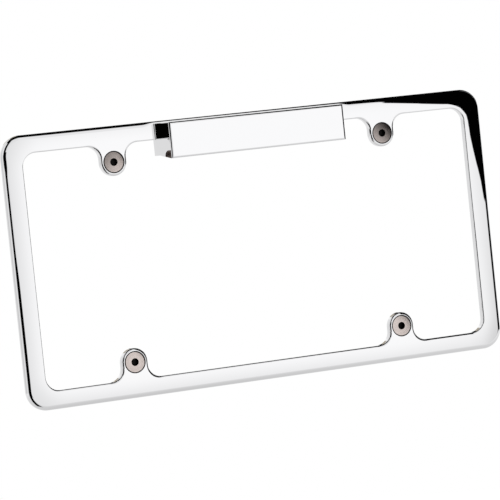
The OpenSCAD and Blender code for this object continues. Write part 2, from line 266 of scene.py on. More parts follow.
def window():
    """The window's edge with its four ears. Normals point into the window."""
    # a quarter, from the hood's end out to the right side; cx is how far from the screw the
    # centres of the fillets are, and cz is their height
    cx, cz = EAR_R + EAR_FILLET, WIN_Z - EAR_FILLET
    neck = [cz + (BOLT_Z - cz) * k / 4 for k in range(1, 4)]
    quarter = [(HOOD_B + (BOLT_X - cx - HOOD_B) * k / 8, WIN_Z, 0, -1) for k in range(8)]
    quarter += arc(BOLT_X - cx, cz, EAR_FILLET, 90, 0, 18, -1)
    quarter += [(BOLT_X - EAR_R, z, -1, 0) for z in neck]
    quarter += arc(BOLT_X, BOLT_Z, EAR_R, 180, 360, 48)
    quarter += [(BOLT_X + EAR_R, z, 1, 0) for z in reversed(neck)]
    quarter += arc(BOLT_X + cx, cz, EAR_FILLET, 180, 90, 18, -1)
    quarter += [(BOLT_X + cx + 1.5 * k, WIN_Z, 0, -1) for k in range(1, 8)]
    quarter += [(HALF_W - CROWN_R, WIN_Z, 0, -1)]
    quarter += arc(WIN_X - WIN_R, WIN_Z - WIN_R, WIN_R, 90, 0, 26, -1)
    quarter += [(WIN_X, HALF_H - CROWN_R, -1, 0)]
    low = [(x, -z, a, -b) for x, z, a, b in reversed(quarter)]
    right = quarter + low
    left = [(-x, z, -a, b) for x, z, a, b in reversed(right)]
    return right + left


# The frame
def crown(x, z):
    """How far the face falls towards the outer edge, as hand polishing leaves it, and its lean."""
    u, v = max(0.0, CROWN_R - HALF_W + abs(x)), max(0.0, CROWN_R - HALF_H + abs(z))
    far = math.hypot(u, v)
    rise = max(0.0, far - CROWN_R + CROWN_W)
    lean = CROWN_LEAN * rise / max(far, NEAR)
    return CROWN_DROP * rise ** 2, math.copysign(lean * u, x), math.copysign(lean * v, z)


def on_face(x, z):
    """A point of the crowned face, with its normal."""
    drop, lx, lz = crown(x, z)
    return (x, drop - THICK, z), (math.sin(lx), -1, math.sin(lz))


def rim_row(ring, place):
    """The outer edge; place maps the front radius to the inward shift, depth and tilt."""
    row = []
    for x, z, a, b in ring:
        d, y, tilt = place(front_radius(x, z))
        row.append(((x - a * d, y, z - b * d),
                    (a * math.sin(tilt), -math.cos(tilt), b * math.sin(tilt))))
    return row


def edge_row(ring, part):
    """The front edge's rounding, part of the way from the side to the crowned face."""
    row = []
    for x, z, a, b in ring:
        e = front_radius(x, z)
        drop, lx, lz = crown(x - a * e, z - b * e)
        t0 = a * lx + b * lz
        t = SIDE + (t0 - SIDE) * part
        d = e * (1 - math.sin(t))
        y = e * (1 - math.cos(t)) - THICK
        y += (drop - e * (1 - math.cos(t0))) * part
        across = ((lx - a * t0) * part, (lz - b * t0) * part)
        row.append(((x - a * d, y, z - b * d),
                    (a * math.sin(t) + across[0], -math.cos(t), b * math.sin(t) + across[1])))
    return row


def face_row(ring, part):
    """The crowned face, part of the way from the end of the rounding to CROWN_END."""
    row = []
    for x, z, a, b in ring:
        e = front_radius(x, z)
        _, lx, lz = crown(x - a * e, z - b * e)
        start = e * (1 - math.sin(a * lx + b * lz))
        d = start + (CROWN_END - start) * part
        row.append(on_face(x - a * d, z - b * d))
    return row


def at_screws(r):
    """One 2-D circle round each plate screw."""
    return [flat(circle(cx, cz, r, ROUND)) for cx, cz in SCREWS]


def build_frame(materials):
    s = Shell()
    ring, edge = outer(), window()
    channel = [k for k, p in enumerate(ring) if p[:2] == (CHANNEL, HALF_H)][0]
    behind_hood = (channel - 1, channel, channel + 1)

    # back chamfer and side of the rim, cut by the wire channel
    s.grid([rim_row(ring, lambda e: (CHAMFER, 0, SIDE * 1.5)),
            rim_row(ring, lambda e: (0, -CHAMFER, SIDE * 1.5))], POLISHED, True, [channel])
    shoulder = rim_row(ring, lambda e: (0, e - THICK, SIDE))
    s.grid([rim_row(ring, lambda e: (0, -CHAMFER, SIDE)), shoulder], POLISHED, True, [channel])
    s.grid([[((x, y, HALF_H), (0, 0, 1)) for x in (CHANNEL, -CHANNEL)]
            for y in (CHANNEL_Y, RIM_R - THICK)], POLISHED)

    # rounded front edge and crowned face
    steps = 20
    s.grid([shoulder] + [edge_row(ring, k / steps) for k in range(1, steps + 1)], POLISHED, True)
    steps = 14
    rows = [face_row(ring, k / steps) for k in range(steps + 1)]
    s.grid(rows, POLISHED, True, behind_hood)
    step = rows[0][channel][0][2]          # the rim's short step above the hood
    s.grid([[on_face(x, z) for x in (HOOD_B, -HOOD_B)] for z in (step, HOOD_TOP)], POLISHED)

    # the rest of the face, out to the window's rounded edge and the countersinks
    breaks = [edge_break(*p) for p in edge]
    face_edge = [(x - a * r, z - b * r) for (x, z, a, b), r in zip(edge, breaks)]
    inner_ring = [(x, z) for (x, _, z), _ in rows[-1]]
    cuts = [((x, WIN_Z + BREAK[3]), (x, HALF_H - CROWN_END)) for x in (-HOOD_B, HOOD_B)]
    s.fill([inner_ring, face_edge] + at_screws(SINK_R + SINK_RIM),
           lambda p, zone: on_face(p.x, p.y), POLISHED,
           keep=lambda p: None if abs(p.x) < HOOD_B and p.y > 0 else 0, extra=cuts)

    window_edge(s, edge, breaks)
    countersinks(s)
    back_face(s, ring, channel, edge)
    wire_channel(s)
    build_hood(s)
    build_pocket(s)
    return s.make("frame_body", materials, "frame")


def window_edge(s, edge, breaks):
    """Rounded front edge of the window, its wall, and a small break at the back."""
    under_hood = [len(edge) - 1]
    rows = []
    steps = 10
    for k in range(steps + 1):
        t = SIDE * k / steps
        row = []
        for (x, z, a, b), r in zip(edge, breaks):
            inset = r * (1 - math.sin(t))
            y = crown(x - a * r, z - b * r)[0] * (1 - k / steps) - THICK + r * (1 - math.cos(t))
            row.append(((x - a * inset, y, z - b * inset),
                        (a * math.sin(t), -math.cos(t), b * math.sin(t))))
        rows.append(row)
    rows.append([((x, -BACK_BREAK, z), (a, 0, b)) for x, z, a, b in edge])
    s.grid(rows, POLISHED, True, under_hood)
    s.grid([[((x, -BACK_BREAK, z), (a, 1, b)) for x, z, a, b in edge],
            [((x - a * BACK_BREAK, 0, z - b * BACK_BREAK), (a, 1, b)) for x, z, a, b in edge]],
           POLISHED, True, under_hood)


def countersinks(s):
    """The four countersunk holes, with a rolled rim and a break at the back."""
    sink_depth = (SINK_R - HOLE_R) / CONE
    for cx, cz in SCREWS:
        def level(r, y, lean):
            return turned(cx, cz, r, y, -math.cos(lean), -math.sin(lean))
        # the rolled rim and the cone take SINK, painted near-black as shade
        s.grid([level(SINK_R + SINK_RIM, -THICK, math.radians(80)),
                level(SINK_R, SINK_ROLL - THICK, math.radians(55))], SINK, True)
        s.grid([level(SINK_R, SINK_ROLL - THICK, SLOPE),
                level(HOLE_R, sink_depth - THICK, SLOPE)], SINK, True)
        s.grid([level(HOLE_R, sink_depth - THICK, 0), level(HOLE_R, -HOLE_BREAK, 0)], MILLED, True)
        s.grid([level(HOLE_R, -HOLE_BREAK, -SIDE / 2), level(HOLE_R + HOLE_BREAK, 0, -SIDE / 2)],
               MILLED, True)


def back_face(s, ring, channel, edge):
    """The flat back, with the tab behind the hood and the mouth of the wire channel."""
    outline = [(x - a * CHAMFER, z - b * CHAMFER) for x, z, a, b in ring]
    outline[channel + 1:channel + 1] = flat(arc(0, WIRE_Z, CHANNEL, 0, -180, 24))
    inner = [(x - a * BACK_BREAK, z - b * BACK_BREAK) for x, z, a, b in edge]
    inner = [(HOOD_B, BASE_Z)] + inner + [(-HOOD_B, BASE_Z)]
    s.fill([outline, inner] + at_screws(HOLE_R + HOLE_BREAK),
           lambda p, zone: ((p.x, 0, p.y), (0, 1, 0)), SATIN)


def wire_channel(s):
    """Two walls with a round bottom, the channel's floor, and the hole through to the pocket."""
    wall = [(CHANNEL, HALF_H, -1, 0), (CHANNEL, WIRE_Z, -1, 0)]
    wall += arc(0, WIRE_Z, CHANNEL, 0, -180, 24, -1)[1:-1]
    wall += [(-CHANNEL, WIRE_Z, 1, 0), (-CHANNEL, HALF_H, 1, 0)]
    s.grid([[((x, y, min(z, HALF_H - cut)), (a, 0, b)) for x, z, a, b in wall]
            for y, cut in ((0, CHAMFER), (-CHAMFER, 0), (CHANNEL_Y, 0))], MILLED)
    bore = circle(0, WIRE_Z, WIRE_R, 40, -1)
    s.fill([flat(wall), flat(bore)], lambda p, zone: ((p.x, CHANNEL_Y, p.y), (0, 1, 0)), MILLED)
    s.grid([[((x, y, z), (a, 0, b)) for x, z, a, b in bore] for y in (CHANNEL_Y, POCKET_BACK)],
           MILLED, True)


class HoodShape:
    """Half width, top and bottom of the hood at a depth y, with their normals."""
    # the end walls lean in; their round starts at START_X and runs on to the front
    WALL = math.atan2(HOOD_B - HOOD_F, -(HOOD_Y + THICK))
    START_X = HOOD_F - END_R * math.tan((SIDE - WALL) / 2)
    WALL_END = HOOD_Y + END_R * (1 - math.sin(WALL))
    TOP_END = HOOD_Y + HOOD_R
    # the underside slopes down to the lip's round, whose centre is at height LIP_MID
    FALL = math.atan2(BASE_Z - LIP_Z, LEVEL_Y - HOOD_Y)
    LIP_MID = LIP_Z + HOOD_R * math.tan((SIDE + FALL) / 2)
    LOW_END = TOP_END + HOOD_R * math.sin(FALL)
    DEPTHS = sorted({HOOD_Y + r * (1 - math.cos(math.radians(a))) for a in range(0, 91, 6)
                     for r in (HOOD_R, END_R)} | {WALL_END}, reverse=True)

    @staticmethod
    def turn(y, r=HOOD_R):
        """Angle from the front on a round of radius r."""
        return math.acos(max(-1.0, min(1.0, (HOOD_Y + r - y) / r)))

    def half_w(self, y):
        if y > -THICK:
            return HOOD_B
        if y > self.WALL_END:
            return HOOD_B + (HOOD_F - HOOD_B) * (y + THICK) / (HOOD_Y + THICK)
        return self.START_X + END_R * math.sin(self.turn(y, END_R))

    def end_normal(self, y):
        if y > self.WALL_END:
            return math.cos(self.WALL), -math.sin(self.WALL)
        t = self.turn(y, END_R) ** 2 / (SIDE - self.WALL)   # polished flatter towards the front
        return math.sin(t), -math.cos(t)

    def top(self, y):
        return HOOD_TOP if y > self.TOP_END else HOOD_TOP + HOOD_R * (math.sin(self.turn(y)) - 1)

    def top_normal(self, y):
        t = self.turn(y) if y < self.TOP_END else SIDE
        return 0, -math.cos(t), math.sin(t)

    def bottom(self, y):
        if y > LEVEL_Y:
            return BASE_Z
        if y > self.LOW_END:
            return BASE_Z + (LIP_Z - BASE_Z) * (LEVEL_Y - y) / (LEVEL_Y - HOOD_Y)
        return self.LIP_MID - HOOD_R * math.sin(self.turn(y))

    def bottom_normal(self, y):
        if y > self.LOW_END:
            return 0, math.sin(self.FALL), -math.cos(self.FALL)
        t = self.turn(y)
        return 0, -math.cos(t), -math.sin(t)

    def across(self, y, z, normal):
        """A line from end to end at a depth."""
        return [((x * self.half_w(y), y, z), normal) for x in (-1, 1)]


def seat_ring():
    """The lens seat's outline, seen from below."""
    return rounded_rect(SEAT_W / 2, (SEAT_BACK - SEAT_FRONT) / 2, POCKET_R, SEAT_STEPS, 0, SEAT_MID)


def build_hood(s):
    """The hood's outside, and the seat that the lens lies in."""
    h = HoodShape()
    for side in (-1, 1):
        hood_end(s, h, side)
    # top: flat, then the round
    s.grid([h.across(y, HOOD_TOP, (0, 0, 1)) for y in (ROOT, -THICK, h.TOP_END)], POLISHED)
    s.grid([h.across(y, h.top(y), h.top_normal(y)) for y in h.DEPTHS if y <= h.TOP_END + NEAR],
           POLISHED)
    # underside: level, then sloping to the lip's round, with the lens seat cut out
    w, f = h.half_w(LEVEL_Y), h.half_w(h.LOW_END)
    floor = [(HOOD_B, 0), (HOOD_B, -THICK), (f, h.LOW_END),
             (-f, h.LOW_END), (-HOOD_B, -THICK), (-HOOD_B, 0)]

    def lift(p, zone):
        if zone == 1:
            return (p.x, p.y, BASE_Z), (0, 0, -1)
        return (p.x, p.y, h.bottom(p.y)), h.bottom_normal(0)
    s.fill([floor, flat(seat_ring())], lift, POLISHED,
           keep=lambda p: 1 if p.y > LEVEL_Y else 2, extra=[((-w, LEVEL_Y), (w, LEVEL_Y))])
    lows = [h.LOW_END] + [y for y in h.DEPTHS if y < h.LOW_END - NEAR]
    s.grid([h.across(y, h.bottom(y), h.bottom_normal(y)) for y in lows], POLISHED)
    s.grid([h.across(HOOD_Y, z, (0, -1, 0)) for z in (h.bottom(HOOD_Y), h.top(HOOD_Y))], POLISHED)
    # walls of the lens seat
    s.grid([[((x, y, h.bottom(y)), (-a, -b, 0)) for x, y, a, b in seat_ring()],
            [((x, y, LEDGE_Z), (-a, -b, 0)) for x, y, a, b in seat_ring()]], MILLED, True)


def hood_end(s, h, side):
    """One end of the hood: square behind the face, then drawn in, with a fillet on the face."""
    s.grid([[((side * HOOD_B, y, z), (side, 0, 0)) for z in (BASE_Z, WIN_Z + BREAK[3])]
            for y in (0, -THICK)], POLISHED)
    a, b = h.end_normal(0)
    s.grid([[((side * HOOD_B, y, z), (side * a, b, 0)) for z in (WIN_Z, HOOD_TOP)]
            for y in (ROOT, -THICK)], POLISHED)
    rows = []
    for y in [-THICK, LEVEL_Y, SEAT_FRONT] + [y for y in h.DEPTHS if y <= h.WALL_END + NEAR]:
        a, b = h.end_normal(y)
        rows.append([((side * h.half_w(y - TINY), y, z), (side * a, b, 0))
                     for z in (h.bottom(y), h.top(y))])
    s.grid(rows, POLISHED)
    # the fillet's centre is one radius off the face and off the wall
    cx = HOOD_B + HOOD_FILLET * (1 - math.sin(h.WALL)) / math.cos(h.WALL)
    cy = -THICK - HOOD_FILLET
    rows = []
    steps = 8
    for k in range(steps + 1):
        t = h.WALL + (SIDE - h.WALL) * k / steps
        a, b = math.cos(t), -math.sin(t)
        rows.append([((side * (cx - HOOD_FILLET * a), cy - HOOD_FILLET * b, z), (side * a, b, 0))
                     for z in (WIN_Z + 0.1, HOOD_TOP)])
    rows.append([((x, ROOT, z), n) for (x, y, z), n in rows[-1]])
    s.grid(rows, POLISHED)


def build_pocket(s):
    """The lamp's pocket above the seat, with its ledge, walls and roof."""
    pocket = rounded_rect(POCKET_W / 2, POCKET_D / 2, POCKET_R, SEAT_STEPS, 0, SEAT_MID)
    s.fill([flat(seat_ring()), flat(pocket)],
           lambda p, zone: ((p.x, p.y, LEDGE_Z), (0, 0, -1)), MILLED)
    # the back wall has the wire hole in it, so it is filled as a flat of its own
    s.grid([[((x, y, z), (-a, -b, 0)) for x, y, a, b in pocket] for z in (LEDGE_Z, ROOF_Z)],
           MILLED, True, [SEAT_STEPS])
    w = POCKET_W / 2 - POCKET_R
    s.fill([[(-w, LEDGE_Z), (w, LEDGE_Z), (w, ROOF_Z), (-w, ROOF_Z)],
            flat(circle(0, WIRE_Z, WIRE_R, 40))],
           lambda p, zone: ((p.x, POCKET_BACK, p.y), (0, -1, 0)), MILLED)
    s.fill([flat(pocket)], lambda p, zone: ((p.x, p.y, ROOF_Z), (0, 0, -1)), MILLED)


# The plate screws
HEAD_SINK, SCREW_LEN, PITCH = 0.2, 15.875, 1.27
TOP = HEAD_SINK - THICK
TIP = TOP + SCREW_LEN
HEAD_ROUND, HEAD_ROLL, HEAD_LAND = 0.32, 0.16, 0.3   # the rim's round: width and depth; the land
DOME = 0.07                                # lean of the head's face at its rim
HEX_R = 3.97 / 2 / math.cos(math.radians(30))        # centre to corner
HEX_MOUTH, HEX_LIP, HEX_DEPTH = HEX_R + 0.06, 0.16, 2.5
CREST_R, NECK_R, THREAD_R = 3.175, 3.025, 2.44       # thread's crest, relief, thread's bottom
THREAD_Y, RUN_IN, TIP_CHAMFER = 0.4, 0.9, 0.7        # start of the thread and its ends
# PAINTED_SHADE is near-black painted shade, for the hex socket and the outer round of the head's
# rim
FACE, PAINTED_SHADE, THREAD = range(3)              # places in a screw's list of materials


def hex_socket(s, cx, cz, angle):
    """The socket, with a small chamfer at its mouth, all painted near-black as shade."""
    corners = [(x, z) for x, z, _, _ in arc(0, 0, HEX_R, angle, angle + 360, 6)]
    for (x0, z0), (x1, z1) in zip(corners, corners[1:]):
        s.grid([[((cx + x, y, cz + z), (-x0 - x1, 0, -z0 - z1)) for x, z in ((x0, z0), (x1, z1))]
                for y in (TOP + HEX_LIP, TOP + HEX_DEPTH)], PAINTED_SHADE)
        # the mouth's chamfer runs from the round rim down to the flats
        rim, low = [], []
        steps = 6
        for k in range(steps + 1):
            x, z = x0 + (x1 - x0) * k / steps, z0 + (z1 - z0) * k / steps
            r = math.hypot(x, z)
            n = (-x / r, -1.2, -z / r)
            rim.append(((cx + x / r * HEX_MOUTH, TOP, cz + z / r * HEX_MOUTH), n))
            low.append(((cx + x, TOP + HEX_LIP * r / HEX_MOUTH * 0.9, cz + z), n))
        s.grid([rim, low], PAINTED_SHADE)
    s.fill([corners[:-1]],
           lambda p, zone: ((cx + p.x, TOP + HEX_DEPTH, cz + p.y), (0, -1, 0)), PAINTED_SHADE)


def screw_head(s, cx, cz):
    """Faced top with a round rim, land, cone and relief."""
    def level(r, y, out, along):
        return turned(cx, cz, r, y, out, along)
    s.grid([level(HEX_MOUTH, TOP, 0, -1), level(HEAD_R - HEAD_ROUND, TOP, DOME, -1)], FACE, True)
    rows = []
    steps, bright = 5, 2                   # the rim's round is painted near-black as shade past its brightest steps
    for k in range(steps + 1):
        t = SIDE * k / steps
        rows.append(level(HEAD_R + HEAD_ROUND * (math.sin(t) - 1),
                          TOP + HEAD_ROLL * (1 - math.cos(t)), DOME + math.sin(t),
                          -1.6 * math.cos(t)))
    s.grid(rows[:bright + 1], FACE, True)
    s.grid(rows[bright:], PAINTED_SHADE, True)
    land = TOP + HEAD_LAND
    neck = land + (HEAD_R - NECK_R) / CONE
    s.grid([level(HEAD_R, y, 1, 0) for y in (TOP + HEAD_ROLL, land)], THREAD, True)
    s.grid([level(r, y, math.cos(SLOPE), math.sin(SLOPE))
            for r, y in ((HEAD_R, land), (NECK_R, neck))], THREAD, True)
    s.grid([level(NECK_R, y, 1, 0) for y in (neck, THREAD_Y)], THREAD, True)


def thread_radius(y, a):
    """One helix whose crests reach the full diameter, fading out at both ends."""
    phase = (y / PITCH + a / (2 * math.pi)) % 1.0
    w = abs(phase - 0.5) * 2               # 1 at the crest, 0 at the bottom
    r = THREAD_R + (CREST_R - THREAD_R) * min(1.0, max(0.0, (w - 0.08) / 0.78))
    r = NECK_R + (r - NECK_R) * min(1.0, (y - THREAD_Y) / RUN_IN)
    return min(r, CREST_R - max(0.0, TIP_CHAMFER - (TIP - y)))


def screw_thread(s, cx, cz):
    """The threaded shank; its normals come from the radius a step of h further on."""
    count, h = 48, 0.02
    angles = [2 * math.pi * c / count for c in range(count)]
    length = TIP - THREAD_Y
    steps = int(length / PITCH * 12)
    rows = []
    for k in range(steps + 1):
        y = THREAD_Y + length * k / steps
        row = []
        for a in angles:
            r = thread_radius(y, a)
            rise = thread_radius(min(y + h, TIP), a) - thread_radius(max(y - h, THREAD_Y), a)
            row.append(((cx + r * math.cos(a), y, cz + r * math.sin(a)),
                        (math.cos(a), -rise / (2 * h), math.sin(a))))
        rows.append(row)
    s.grid(rows, THREAD, True)
    s.fill([[(x, z) for (x, _, z), _ in rows[-1]]],
           lambda p, zone: ((p.x, TIP, p.y), (0, 1, 0)), THREAD)


def build_plate_screw(name, cx, cz, angle, materials):
    s = Shell()
    hex_socket(s, cx, cz, angle)
    screw_head(s, cx, cz)
    screw_thread(s, cx, cz)
    return s.make(name.replace("plate_screw", "screw"), materials, name)


# Materials
class Graph:
    """Short hand for building node trees."""

    def __init__(self, tree):
        self.t = tree

    def node(self, kind, **props):
        n = self.t.nodes.new(kind)
        for k, v in props.items():
            setattr(n, k, v)
        return n

    def wire(self, value, socket):
        if isinstance(value, bpy.types.NodeSocket):
            self.t.links.new(value, socket)
        else:
            socket.default_value = value

    def math(self, op, *args):
        n = self.node("ShaderNodeMath", operation=op)
        for v, sock in zip(args, n.inputs):
            self.wire(v, sock)
        return n.outputs[0]

    def fold(self, op, values):
        out = values[0]
        for v in values[1:]:
            out = self.math(op, out, v)
        return out

    def add(self, *values):
        return self.fold("ADD", values)

    def mul(self, *values):
        return self.fold("MULTIPLY", values)

    def sub(self, a, b):
        return self.math("SUBTRACT", a, b)

    def most(self, *values):
        return self.fold("MAXIMUM", values)

    def radius(self, x, y):
        return self.math("SQRT", self.add(self.mul(x, x), self.mul(y, y)))

    def degrees(self, op, *args):
        return self.math("DEGREES", self.math(op, *args))

    def ramp(self, x, a, b, lo=0.0, hi=1.0, smooth=True):
        """From lo at x = a to hi at x = b, and level past both."""
        n = self.node("ShaderNodeMapRange", interpolation_type="SMOOTHSTEP" if smooth else "LINEAR")
        self.wire(x, n.inputs[0])
        for v, k in ((a, 1), (b, 2), (lo, 3), (hi, 4)):
            self.wire(v, n.inputs[k])
        return n.outputs[0]

    def mix(self, fac, a, b):
        n = self.node("ShaderNodeMix", data_type="RGBA")
        self.wire(fac, n.inputs[0])
        self.wire(a, n.inputs[6])
        self.wire(b, n.inputs[7])
        return n.outputs[2]

    def blend(self, fac, a, b):
        """a where fac is 0 and b where it is 1, for single values."""
        n = self.node("ShaderNodeMix", data_type="FLOAT")
        self.wire(fac, n.inputs[0])
        self.wire(a, n.inputs[2])
        self.wire(b, n.inputs[3])
        return n.outputs[0]

    def coords(self, scale=(1, 1, 1)):
        c = self.node("ShaderNodeTexCoord")
        m = self.node("ShaderNodeMapping")
        self.wire(c.outputs["Object"], m.inputs[0])
        m.inputs["Scale"].default_value = scale
        return m.outputs[0]

    def xyz(self, kind="Object"):
        """The three coordinates, each as a value."""
        sep = self.node("ShaderNodeSeparateXYZ")
        self.wire(self.node("ShaderNodeTexCoord").outputs[kind], sep.inputs[0])
        return sep.outputs

    def noise(self, vector, scale, detail=4.0, rough=0.5):
        n = self.node("ShaderNodeTexNoise")
        self.wire(vector, n.inputs["Vector"])
        n.inputs["Scale"].default_value = scale
        n.inputs["Detail"].default_value = detail
        n.inputs["Roughness"].default_value = rough
        return n.outputs[0]

    def bump(self, height, strength, distance):
        n = self.node("ShaderNodeBump")
        n.inputs["Strength"].default_value = strength
        n.inputs["Distance"].default_value = distance
        self.wire(height, n.inputs["Height"])
        return n.outputs[0]


def material(name, **values):
    """A new material, its graph and its shader's inputs."""
    m = bpy.data.materials.new(name)
    m.use_nodes = True
    shader = m.node_tree.nodes["Principled BSDF"]
    for k, v in values.items():
        shader.inputs[k.replace("_", " ")].default_value = v
    return m, Graph(m.node_tree), shader.inputs


def polished_metal():
    m, g, i = material("polished_aluminium", Metallic=1.0)
    haze = g.noise(g.coords(), 60, 3)
    fine = g.noise(g.coords((900, 900, 140)), 1.0, 2)
    i["Base Color"].default_value = (0.915, 0.915, 0.925, 1)
    g.wire(g.add(g.ramp(haze, 0.35, 0.75, 0.004, 0.009), g.ramp(fine, 0.6, 0.8, 0, 0.004)),
           i["Roughness"])
    return m


def milled_metal():
    m, g, i = material("milled_aluminium", Metallic=1.0)
    v = g.coords()
    w = g.node("ShaderNodeTexWave", wave_type="RINGS", rings_direction="Y")
    g.wire(v, w.inputs["Vector"])
    w.inputs["Scale"].default_value = 900
    w.inputs["Distortion"].default_value = 1.5
    g.wire(g.mix(g.noise(v, 300), (0.62, 0.62, 0.64, 1), (0.8, 0.8, 0.82, 1)), i["Base Color"])
    g.wire(g.ramp(g.noise(v, 500), 0.3, 0.7, 0.24, 0.36), i["Roughness"])
    g.wire(g.bump(w.outputs[1], 0.15, 0.00005), i["Normal"])
    return m


def countersink_painted_shade():
    """The countersinks' cones and rolled rims, painted near-black as shade in the grooves."""
    m, g, i = material("countersink", Metallic=1.0)
    v = g.coords()
    g.wire(g.mix(g.noise(v, 800), (0.05, 0.05, 0.052, 1), (0.10, 0.10, 0.105, 1)), i["Base Color"])
    g.wire(g.ramp(g.noise(v, 900), 0.3, 0.7, 0.3, 0.45), i["Roughness"])
    return m


def satin_metal():
    m, g, i = material("satin_aluminium", Metallic=1.0)
    lines = g.noise(g.coords((40, 40, 3500)), 1.0, 3)
    cloud = g.noise(g.coords(), 25, 4)
    g.wire(g.mix(cloud, (0.84, 0.84, 0.85, 1), (0.91, 0.91, 0.92, 1)), i["Base Color"])
    g.wire(g.add(g.ramp(lines, 0.3, 0.7, 0.12, 0.2), g.ramp(cloud, 0.4, 0.7, 0, 0.05)),
           i["Roughness"])
    g.wire(g.bump(lines, 0.12, 0.00002), i["Normal"])
    return m


def turned_steel_and_shade(cx, cz, name, angle, low, high):
    """A faced screw head: rings round the screw's own axis, and a painted dark reflection across it
    at an angle.
    """
    m, g, i = material(name, Metallic=1.0)
    x, _, z = g.xyz()
    dx, dz = g.sub(x, cx * MM), g.sub(z, cz * MM)
    comb = g.node("ShaderNodeCombineXYZ")
    g.wire(g.mul(g.radius(dx, dz), 1500.0), comb.inputs[0])
    rings = g.noise(comb.outputs[0], 1.0, 3, 0.6)
    blotch = g.noise(g.coords(), 420, 4, 0.6)
    tone = g.add(g.ramp(rings, 0.3, 0.7, 0, 0.6), g.ramp(blotch, 0.35, 0.7, 0, 0.4))
    steel = g.mix(tone, (0.72, 0.63, 0.595, 1), (0.90, 0.80, 0.755, 1))
    turn = math.radians(angle)
    along = g.add(g.mul(dx, math.cos(turn) / (HEAD_R * MM)),
                  g.mul(dz, math.sin(turn) / (HEAD_R * MM)))
    # painted reflection: the head darkens towards one side, as the upper heads mirror the dark room
    # above
    dark_reflection_paint = g.mul(g.ramp(along, -1.0, 1.0, low, high, False), g.ramp(blotch, 0.3, 0.7, 0.94, 1.04))
    scaled = g.node("ShaderNodeVectorMath", operation="SCALE")
    g.wire(steel, scaled.inputs[0])
    g.wire(dark_reflection_paint, scaled.inputs["Scale"])
    g.wire(scaled.outputs[0], i["Base Color"])
    g.wire(g.ramp(blotch, 0.3, 0.7, 0.20, 0.27), i["Roughness"])
    g.wire(g.bump(rings, 0.35, 0.00004), i["Normal"])
    return m


# Near-black painted shade for the hex socket and the outer round of a screw head's rim.
def socket_painted_shade():
    m, g, i = material("socket_painted_shade", Metallic=1.0)
    v = g.coords()
    g.wire(g.mix(g.noise(v, 900), (0.010, 0.010, 0.010, 1), (0.025, 0.023, 0.022, 1)),
           i["Base Color"])
    i["Roughness"].default_value = 0.45
    return m


def thread_steel():
    m, g, i = material("thread_steel", Metallic=1.0)
    v = g.coords()
    g.wire(g.mix(g.noise(v, 700, 5), (0.10, 0.075, 0.065, 1), (0.26, 0.21, 0.19, 1)),
           i["Base Color"])
    g.wire(g.ramp(g.noise(v, 1200), 0.3, 0.7, 0.28, 0.4), i["Roughness"])
    return m


def small_steel():
    m, g, i = material("small_screw_steel", Metallic=1.0)
    v = g.coords()
    g.wire(g.mix(g.noise(v, 1100, 5), (0.56, 0.56, 0.58, 1), (0.72, 0.72, 0.74, 1)),
           i["Base Color"])
    g.wire(g.ramp(g.noise(v, 1500), 0.3, 0.7, 0.2, 0.34), i["Roughness"])
    return m


def clear_lens():
    m, g, i = material("clear_lens", Transmission_Weight=1.0, IOR=1.49)
    i["Base Color"].default_value = (0.97, 0.98, 0.985, 1)
    w = g.node("ShaderNodeTexWave", wave_type="BANDS", bands_direction="X")
    g.wire(g.coords(), w.inputs["Vector"])
    w.inputs["Scale"].default_value = 160
    g.wire(g.bump(w.outputs[1], 0.25, 0.0001), i["Normal"])
    g.wire(g.ramp(g.noise(g.coords(), 260), 0.35, 0.7, 0.02, 0.07), i["Roughness"])
    return m


def rubber():
    m, g, i = material("black_rubber")
    v = g.coords()
    g.wire(g.mix(g.noise(v, 600, 5), (0.018, 0.018, 0.018, 1), (0.035, 0.035, 0.036, 1)),
           i["Base Color"])
    g.wire(g.ramp(g.noise(v, 900), 0.3, 0.7, 0.55, 0.75), i["Roughness"])
    g.wire(g.bump(g.noise(v, 2500, 3), 0.3, 0.00004), i["Normal"])
    return m


def circuit_board():
    """Green lacquer over copper runs, seen from below."""
    m, g, i = material("circuit_board")
    v = g.coords()
    brick = g.node("ShaderNodeTexBrick")
    g.wire(v, brick.inputs["Vector"])
    brick.inputs["Scale"].default_value = 154
    brick.inputs["Mortar Size"].default_value = 0.035
    brick.inputs["Color1"].default_value = (0, 0, 0, 1)
    brick.inputs["Color2"].default_value = (0, 0, 0, 1)
    brick.inputs["Mortar"].default_value = (1, 1, 1, 1)
    runs = brick.outputs[0]
    base = g.mix(g.noise(v, 400, 4), (0.008, 0.085, 0.035, 1), (0.012, 0.12, 0.05, 1))
    g.wire(g.mix(runs, base, (0.03, 0.22, 0.09, 1)), i["Base Color"])
    g.wire(g.bump(runs, 0.4, 0.00004), i["Normal"])
    i["Roughness"].default_value = 0.28
    return m


def diode(cx, cy, name):
    """Pale body with a round window of yellow resin."""
    m, g, i = material(name)
    x, y, z = g.xyz()
    r = g.radius(g.sub(x, cx), g.sub(y, cy))
    resin = g.mul(g.ramp(r, 0.00195, 0.0020, 1, 0), g.ramp(z, 0.0689, 0.0692, 1, 0))
    v = g.coords()
    body = g.mix(g.noise(v, 900, 4), (0.72, 0.72, 0.68, 1), (0.82, 0.82, 0.78, 1))
    g.wire(g.mix(resin, body, (0.80, 0.62, 0.10, 1)), i["Base Color"])
    g.wire(g.blend(resin, 0.4, 0.15), i["Roughness"])
    return m


def tinned_brass():
    m, g, i = material("tinned_brass", Metallic=1.0)
    v = g.coords()
    g.wire(g.mix(g.noise(v, 1500, 5), (0.62, 0.55, 0.38, 1), (0.72, 0.70, 0.66, 1)),
           i["Base Color"])
    g.wire(g.ramp(g.noise(v, 1500), 0.3, 0.7, 0.2, 0.35), i["Roughness"])
    return m


def dress(node, mat):
    """Gives a CAD node its material."""
    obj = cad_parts[node]
    if not obj.data.materials:
        obj.data.materials.append(mat)
    for k in range(len(obj.data.materials)):
        obj.data.materials[k] = mat


build_frame([polished_metal(), milled_metal(), satin_metal(), countersink_painted_shade()])
socket_shade, threads = socket_painted_shade(), thread_steel()
